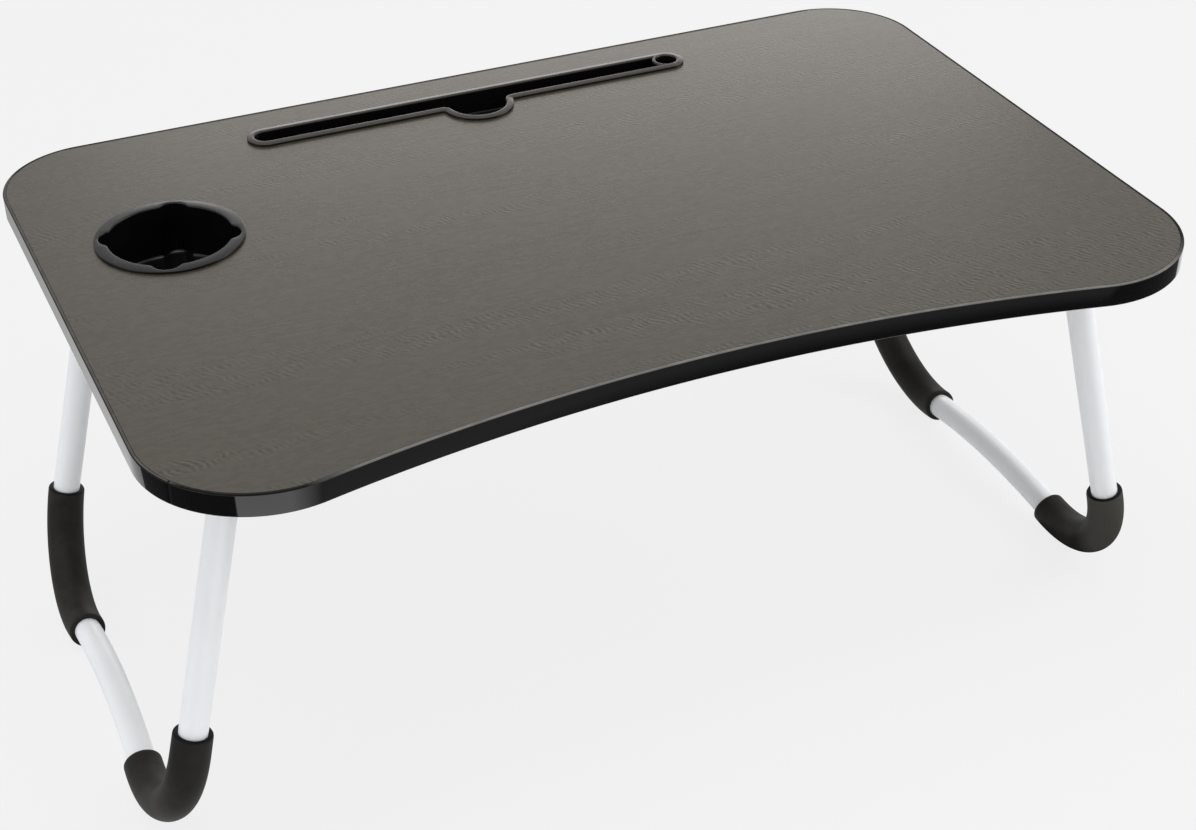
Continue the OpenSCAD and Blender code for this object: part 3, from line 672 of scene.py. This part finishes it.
def gloss_band_finish():
    """Black plastic band: a glossy film on its face, bare dull plastic where it is trimmed, and
    painted highlights on its top edge.
    """
    film = {"Coat_IOR": 1.45, "Coat_Roughness": 0.045}
    finish, w, shader = new_finish("gloss black band", IOR=1.14, **film)
    place = w.place()
    marks = use(w, HANDLING, Position=place, Smear_size=26.0, Dust=0.06)
    scratch = use(w, SCRATCHES, Position=place, Fineness=500.0, Amount=0.4)["Mask"]
    level = w.maths("ABSOLUTE", w.upwards())
    trimmed = w.spread(level, 0.30, 0.55)
    along = w.xyz(place)
    # Between the two front corners the edge is painted grey, a painted highlight: all of it well
    # in front, only its rounding in the hollow
    rounding_only = w.spread(level, 0.84, 0.95, 1.0, 0.0)
    in_front = w.spread(along[1], -0.170, -0.165, 1.0, 0.0)
    painted_highlight = w.times(w.times(trimmed, w.maths("MAXIMUM", rounding_only, in_front)),
                     w.between(along[0], -0.232, -0.200, 0.262, 0.290))
    # The flat top of the band is painted a little paler along the left side, a painted reflection
    on_left = w.spread(along[0], -0.290, -0.285, 0.45, 0.0)
    painted_highlight = w.maths("MAXIMUM", painted_highlight, w.times(w.spread(level, 0.90, 0.97), on_left))
    uneven = w.spread(w.noise(place, 90.0, 3.0), 0.3, 0.7, 0.7, 1.0)
    base = w.mix(marks["Dust"], colour(0.0018, 0.0018, 0.002), colour(0.2, 0.2, 0.2))
    # Painted highlight: the edge is mixed towards pale grey
    base = w.mix(w.times(painted_highlight, uneven), base, colour(0.165, 0.158, 0.148))
    w.feed(shader.inputs["Base Color"], base)
    rough = w.maths("ADD", 0.06, w.times(scratch, 0.1))
    w.feed(shader.inputs["Roughness"], w.mix(trimmed, rough, colour(0.42, 0.42, 0.42)))
    whole = w.maths("SUBTRACT", 1.0, w.times(scratch, 0.2))
    w.feed(shader.inputs["Coat Weight"], w.mix(trimmed, whole, colour(0, 0, 0)))
    height = use(w, SKIN, Position=place, Grain=260.0, Waves=34.0, Waviness=4.0)["Height"]
    bump(w, shader, height, 0.00012, 0.25)
    return finish


def insert_finish():
    """Moulded black plastic of the cup holder and the tablet tray."""
    finish, w, shader = new_finish("moulded black insert", IOR=1.31)
    place = w.place()
    marks = use(w, HANDLING, Position=place, Smear_size=60.0, Dust=0.08)
    wear = use(w, EDGE_WEAR, Position=place, Width=0.0005, Amount=0.25)["Mask"]
    base = w.mix(marks["Dust"], colour(0.0024, 0.0024, 0.0025), colour(0.2, 0.2, 0.2))
    base = w.mix(wear, base, colour(0.03, 0.03, 0.032))
    # What stands above the top is duller, and the tray's rim is painted lighter brown-grey, a
    # painted reflection
    along = w.xyz(place)
    painted_rim_reflection = w.times(w.spread(along[2], 0.2709, 0.2713), w.spread(along[1], 0.120, 0.125))
    base = w.mix(w.times(painted_rim_reflection, 0.6), base, colour(0.050, 0.044, 0.039))
    w.feed(shader.inputs["Base Color"], base)
    rough = w.spread(along[2], 0.2700, 0.2706, 0.16, 0.25)
    w.feed(shader.inputs["Roughness"], w.maths("ADD", rough, w.times(marks["Smears"], 0.06)))
    height = use(w, SKIN, Position=place, Grain=1500.0, Waves=120.0, Waviness=1.5)["Height"]
    bump(w, shader, height, 0.00003, 0.5)
    return finish


def tube_paint_finish():
    """White powder coat on the leg tubes, faintly clouded and smeared by handling."""
    finish, w, shader = new_finish("white powder coat", IOR=1.5)
    place = w.place()
    marks = use(w, HANDLING, Position=place, Smear_size=30.0, Dust=0.10)
    cloud = w.spread(w.noise(place, 9.0, 3.0), 0.35, 0.7)
    base = w.mix(cloud, colour(0.89, 0.905, 0.925), colour(0.84, 0.855, 0.875))
    base = w.mix(w.times(marks["Smears"], 0.10), base, colour(0.72, 0.725, 0.725))
    w.feed(shader.inputs["Base Color"], base)
    w.feed(shader.inputs["Roughness"], w.maths("ADD", 0.34, w.times(marks["Smears"], 0.1)))
    height = use(w, SKIN, Position=place, Grain=1300.0, Waves=220.0, Waviness=1.2)["Height"]
    bump(w, shader, height, 0.00005, 0.35)
    return finish


def rubber_finish():
    """Charcoal rubber: soft sheen, fine pitted skin, dusty smears, and painted light and shade on
    the sleeves.
    """
    finish, w, shader = new_finish("charcoal rubber", IOR=1.2)
    place = w.place()
    marks = use(w, HANDLING, Position=place, Smear_size=70.0, Dust=0.2)
    pits = w.noise(place, 2600.0, 2.0, 0.6)
    cloud = w.spread(w.noise(place, 55.0, 4.0), 0.3, 0.7)
    base = w.mix(cloud, colour(0.0112, 0.0103, 0.0091), colour(0.0170, 0.0157, 0.0140))
    base = w.mix(w.times(marks["Smears"], 0.25), base, colour(0.034, 0.0318, 0.029))
    # The front sleeves are painted paler as painted light: low down on both, and on the right one's
    # upright part
    along = w.xyz(place)
    front = w.spread(along[1], -0.128, -0.112, 1.0, 0.0)
    low = w.spread(along[2], 0.006, 0.042, 1.0, 0.0)
    right = w.spread(along[0], 0.2, 0.25)
    painted_light = w.times(front, w.maths("MAXIMUM", low, right))
    base = w.mix(w.times(painted_light, 0.8), base, colour(0.066, 0.061, 0.054))
    # The cut ends of the uprights are painted blacker: painted shade
    painted_mouth_shade = w.times(w.spread(w.upwards(), 0.45, 0.7), w.spread(along[2], 0.045, 0.052))
    base = w.mix(painted_mouth_shade, base, colour(0.003, 0.003, 0.003))
    w.feed(shader.inputs["Base Color"], w.mix(marks["Dust"], base, colour(0.12, 0.115, 0.11)))
    w.feed(shader.inputs["Roughness"], w.spread(pits, 0.3, 0.7, 0.50, 0.62))
    height = w.maths("ADD", pits, w.times(w.noise(place, 160.0, 2.0), 1.5))
    bump(w, shader, height, 0.00005, 0.5)
    return finish


def zinc_finish(name, tint, roughness):
    """Zinc plated steel: cloudy crystal patches, brighter rubbed edges."""
    finish, w, shader = new_finish(name, Metallic=1.0)
    place = w.place()
    cells = w.add("TexVoronoi", {"Vector": place, "Scale": 190.0}, feature="SMOOTH_F1")
    cloud = w.spread(w.noise(place, 140.0, 4.0), 0.3, 0.7)
    base = w.mix(cloud, colour(*(t * 0.78 for t in tint)), colour(*tint))
    base = w.mix(w.times(cells.outputs["Distance"], 0.25), base, colour(0.42, 0.43, 0.46))
    wear = use(w, EDGE_WEAR, Position=place, Width=0.0005, Amount=0.7)["Mask"]
    marks = use(w, HANDLING, Position=place, Smear_size=90.0, Dust=0.2)
    base = w.mix(marks["Dust"], base, colour(0.35, 0.33, 0.3))
    w.feed(shader.inputs["Base Color"], w.mix(wear, base, colour(0.85, 0.85, 0.86)))
    rough = w.maths("ADD", roughness, w.times(cloud, 0.12))
    w.feed(shader.inputs["Roughness"], w.maths("SUBTRACT", rough, w.times(wear, 0.12)))
    height = use(w, SKIN, Position=place, Grain=1200.0, Waves=150.0, Waviness=1.0)["Height"]
    bump(w, shader, height, 0.00003, 0.6)
    return finish


def fibreboard_finish():
    """Raw fibreboard, seen only in the screw holes and behind the inserts."""
    finish, w, shader = new_finish("raw fibreboard", Roughness=0.85)
    place = w.place()
    fibres = w.noise(w.stretch(place, (1, 1, 3)), 700.0, 4.0, 0.7)
    base = w.mix(w.spread(fibres, 0.3, 0.7), colour(0.16, 0.09, 0.045), colour(0.34, 0.22, 0.12))
    w.feed(shader.inputs["Base Color"], base)
    bump(w, shader, fibres, 0.0002, 0.6)
    return finish


def foil_finish():
    """Black balancing foil under the board: a fine leathery emboss with a few scuffs."""
    finish, w, shader = new_finish("balancing foil", IOR=1.45)
    place = w.place()
    cells = w.add("TexVoronoi", {"Vector": place, "Scale": 900.0}, feature="DISTANCE_TO_EDGE")
    marks = use(w, HANDLING, Position=place, Smear_size=9.0, Dust=0.35)
    scratch = use(w, SCRATCHES, Position=place, Fineness=260.0, Amount=0.6)["Mask"]
    base = w.mix(marks["Smears"], colour(0.014, 0.014, 0.0145), colour(0.022, 0.0215, 0.021))
    base = w.mix(w.times(scratch, 0.5), base, colour(0.09, 0.09, 0.09))
    w.feed(shader.inputs["Base Color"], w.mix(marks["Dust"], base, colour(0.2, 0.19, 0.18)))
    w.feed(shader.inputs["Roughness"], w.maths("ADD", 0.48, w.times(marks["Smears"], 0.1)))
    bump(w, shader, cells.outputs["Distance"], 0.00006, 0.5)
    return finish


def plug_finish():
    """Matt black plastic of the tube plugs."""
    finish, w, shader = new_finish("matt black plug", IOR=1.46)
    place = w.place()
    marks = use(w, HANDLING, Position=place, Smear_size=120.0, Dust=0.3)
    base = w.mix(marks["Dust"], colour(0.02, 0.02, 0.021), colour(0.2, 0.2, 0.2))
    w.feed(shader.inputs["Base Color"], base)
    w.feed(shader.inputs["Roughness"], w.maths("ADD", 0.5, w.times(marks["Smears"], 0.15)))
    height = use(w, SKIN, Position=place, Grain=2200.0, Waves=200.0, Waviness=0.5)["Height"]
    bump(w, shader, height, 0.00004, 0.6)
    return finish


FINISHES = {
    "fibreboard": fibreboard_finish(),
    "wood_laminate": laminate_finish(),
    "balancing_foil": foil_finish(),
    "gloss_black_band": gloss_band_finish(),
    "gloss_black_insert": insert_finish(),
    "white_paint": tube_paint_finish(),
    "charcoal_rubber": rubber_finish(),
    "zinc_sheet": zinc_finish("zinc plated sheet", (0.60, 0.61, 0.64), 0.30),
    "steel_fixings": zinc_finish("plated fixings", (0.66, 0.66, 0.68), 0.22),
    "black_plug": plug_finish(),
}

for part in frame["record"]["subparts"]:
    node = frame["nodes"][part["node"]]
    node.data.materials.clear()
    node.data.materials.append(FINISHES[part["material_slot"]])

make_edge_band(FINISHES["gloss_black_band"])
make_cup_holder(FINISHES["gloss_black_insert"])
make_tablet_tray(FINISHES["gloss_black_insert"])
for leg_side in (LEFT, RIGHT):
    for leg_end in (FRONT, BACK):
        make_sleeve(leg_side, leg_end, FINISHES["charcoal_rubber"])


# ---- Studio ----


def seen_rays(w):
    """1 for rays that see a surface, straight, in gloss or through glass, 0 for its own light."""
    rays = w.add("LightPath").outputs
    shown = w.maths("MAXIMUM", rays["Is Camera Ray"], rays["Is Glossy Ray"])
    return w.maths("MAXIMUM", shown, rays["Is Transmission Ray"])


def floor_finish():
    """Pale floor: where it is seen nearly even, with a faint shadow, and clear from below."""
    paint = colour(0.86, 0.86, 0.862)
    finish, w, shader = new_finish("pale floor", Base_Color=paint, Roughness=0.9)
    glow = w.add("Emission", {"Color": colour(PALE, PALE, PALE), "Strength": 1.0})
    evenness = w.times(seen_rays(w), 0.92)
    pale = w.add("MixShader", {0: evenness, 1: shader.outputs[0], 2: glow.outputs[0]})
    from_below = w.add("NewGeometry").outputs["Backfacing"]
    clear = w.add("BsdfTransparent")
    both = w.add("MixShader", {0: from_below, 1: pale.outputs[0], 2: clear.outputs[0]})
    w.feed(finish.node_tree.nodes["Material Output"].inputs["Surface"], both.outputs[0])
    return finish


def make_floor():
    """A level square of 18 metres, in a grid."""
    mesh = bpy.data.meshes.new("studio_floor")
    reach, rows = 9.0, 12
    marks = [-reach + 2 * reach * i / rows for i in range(rows + 1)]
    points, faces = loft([[(x, y, 0) for x in marks] for y in marks], loop=False)
    mesh.from_pydata(points, [], faces)
    mesh.materials.append(floor_finish())
    floor = bpy.data.objects.new("studio_floor", mesh)
    bpy.context.scene.collection.objects.link(floor)


def make_lamp(name, place, target, size, power, tint=(1, 1, 1)):
    """A soft box at a place in metres, turned to face its target."""
    lamp = bpy.data.lights.new(name, "AREA")
    lamp.shape = "RECTANGLE"
    lamp.size, lamp.size_y = size
    lamp.energy, lamp.color = power, tint
    holder = bpy.data.objects.new(name, lamp)
    holder.location = place
    holder.rotation_mode = "QUATERNION"
    holder.rotation_quaternion = (Vector(target) - Vector(place)).to_track_quat("-Z", "Y")
    holder.visible_camera = False
    bpy.context.scene.collection.objects.link(holder)


def card_finish():
    """The cards' shade: dark, with a lit panel before the front left corner and one behind it."""
    finish = bpy.data.materials.new("gloss cards")
    finish.use_nodes = True
    w = Wiring(finish.node_tree)
    finish.node_tree.nodes.remove(finish.node_tree.nodes["Principled BSDF"])
    along = w.xyz(w.place())
    turn = w.times(w.maths("ARCTAN2", along[1], along[0]), 180 / math.pi)
    before, behind = w.between(turn, -128.5, -127.5, -46, -38), w.between(turn, 90, 91, 137.5, 138)
    before = w.times(before, w.spread(turn, -84, -58, 2.0, 0.30))
    behind = w.times(behind, w.spread(turn, 99, 108, 0.44, 0.70))
    dark = 0.08
    shade = w.maths("MAXIMUM", w.maths("MAXIMUM", before, behind), dark)
    glow = w.add("Emission", {"Color": colour(1, 1, 1), "Strength": shade})
    w.feed(finish.node_tree.nodes["Material Output"].inputs["Surface"], glow.outputs[0])
    return finish


def make_gloss_cards():
    """Cards laid just over the floor, from behind the left side round the front to the right.

    Only gloss shows them: they cast no light or shadow."""
    front_left_corner, height, near, far = (-0.235, -0.1375), 0.004, 0.17, 1.6
    start, end, steps = -264, 8, 136
    spokes = []
    for _, _, c, s in along_arc((0, 0), 1, start, end, steps):
        spokes.append([(near * c, near * s, 0), (far * c, far * s, 0)])
    points, faces = loft(spokes, loop=False)
    mesh = bpy.data.meshes.new("gloss_cards")
    mesh.from_pydata(points, [], faces)
    mesh.materials.append(card_finish())
    cards = bpy.data.objects.new("gloss_cards", mesh)
    cards.location = (*front_left_corner, height)
    for rays in ("camera", "diffuse", "shadow", "transmission"):
        setattr(cards, f"visible_{rays}", False)
    bpy.context.scene.collection.objects.link(cards)


def make_world():
    """White all round, and dimmer in the light that it throws on the table."""
    world = bpy.data.worlds.new("studio")
    world.use_nodes = True
    w = Wiring(world.node_tree)
    sky = world.node_tree.nodes["Background"]
    thrown = 0.62
    w.feed(sky.inputs["Color"], colour(PALE, PALE, PALE))
    w.feed(sky.inputs["Strength"], w.spread(seen_rays(w), 0.0, 1.0, thrown, 1.0))
    bpy.context.scene.world = world


def make_camera():
    """The photograph's view point, found by fitting the outline of the top and the legs."""
    place = (-0.465953, -1.076508, 0.883956)
    yaw, pitch, roll = 0.4147914, 0.5715606, -0.0082708
    focal_in_pixels, image_width, sensor = 2306.2, 1196, 36.0
    flat = math.cos(pitch)
    ahead = Vector((math.sin(yaw) * flat, math.cos(yaw) * flat, -math.sin(pitch)))
    level = Vector((math.cos(yaw), -math.sin(yaw), 0))
    up = level.cross(ahead)
    right = level * math.cos(roll) + up * math.sin(roll)
    up = up * math.cos(roll) - level * math.sin(roll)
    lens = bpy.data.cameras.new("photo_camera")
    lens.sensor_width, lens.lens = sensor, focal_in_pixels / image_width * sensor
    lens.clip_start, lens.clip_end = 0.05, 60
    camera = bpy.data.objects.new("photo_camera", lens)
    turn = Matrix((right, up, -ahead)).transposed().to_4x4()
    camera.matrix_world = Matrix.Translation(place) @ turn
    bpy.context.scene.collection.objects.link(camera)
    bpy.context.scene.camera = camera


make_floor()
make_gloss_cards()
make_world()
below_top, at_top = (0, 0, 0.2), (0, 0, 0.26)
make_lamp("top_softbox", (-0.3, -0.2, 2.2), below_top, (1.6, 1.2), 20)
make_lamp("back_softbox", (0.91, 2.22, 0.78), at_top, (1.56, 0.80), 8.3, (1, 0.9725, 0.935))
make_lamp("left_softbox", (-2.2, -0.4, 1.1), below_top, (1.6, 1.4), 12, (0.965, 0.985, 1))
make_lamp("right_softbox", (1.7, -0.6, 1.1), below_top, (1.2, 1.2), 21)
make_camera()

bpy.context.scene.view_settings.view_transform = "Standard"
